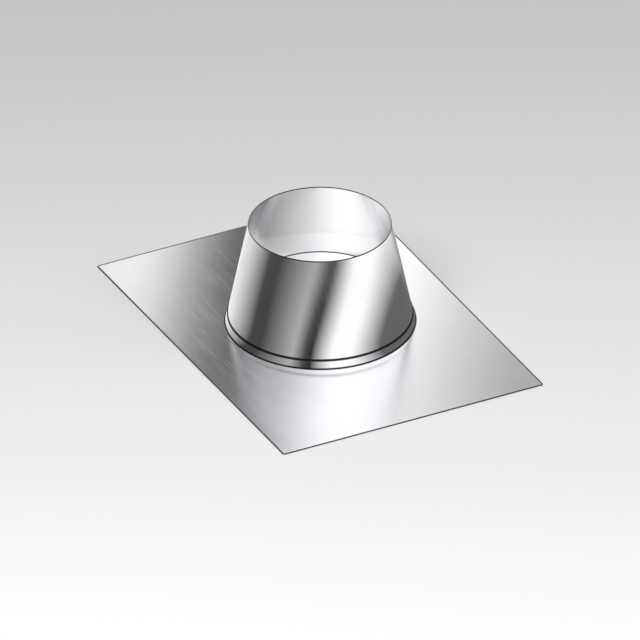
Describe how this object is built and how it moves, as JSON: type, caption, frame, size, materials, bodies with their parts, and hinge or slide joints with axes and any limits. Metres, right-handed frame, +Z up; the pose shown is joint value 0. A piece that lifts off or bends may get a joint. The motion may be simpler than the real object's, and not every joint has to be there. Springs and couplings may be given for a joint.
{
  "type": "roof flashing",
  "caption": "Flat-roof flashing for a round flue: rectangular base plate, tapered cone with a hemmed foot, and a short inner sleeve.",
  "frame": {"origin": "on the flue axis, at the underside of the base plate", "axes": "+Z up along the flue axis; the plate's long sides run along Y and its short sides along X"},
  "size_m": [0.5, 0.7, 0.193],
  "materials": {
    "plate_sheet": "bright cold-rolled stainless sheet, fine straight grain along its length",
    "sleeve_sheet": "bright cold-rolled stainless sheet, fine grain round the sleeve",
    "cone_sheet": "bright cold-rolled stainless sheet, fine grain round the cone"
  },
  "bodies": {
    "root": {"base_plate": "plate_sheet", "inner_sleeve": "sleeve_sheet", "cone": "cone_sheet"}
  },
  "joints": []
}
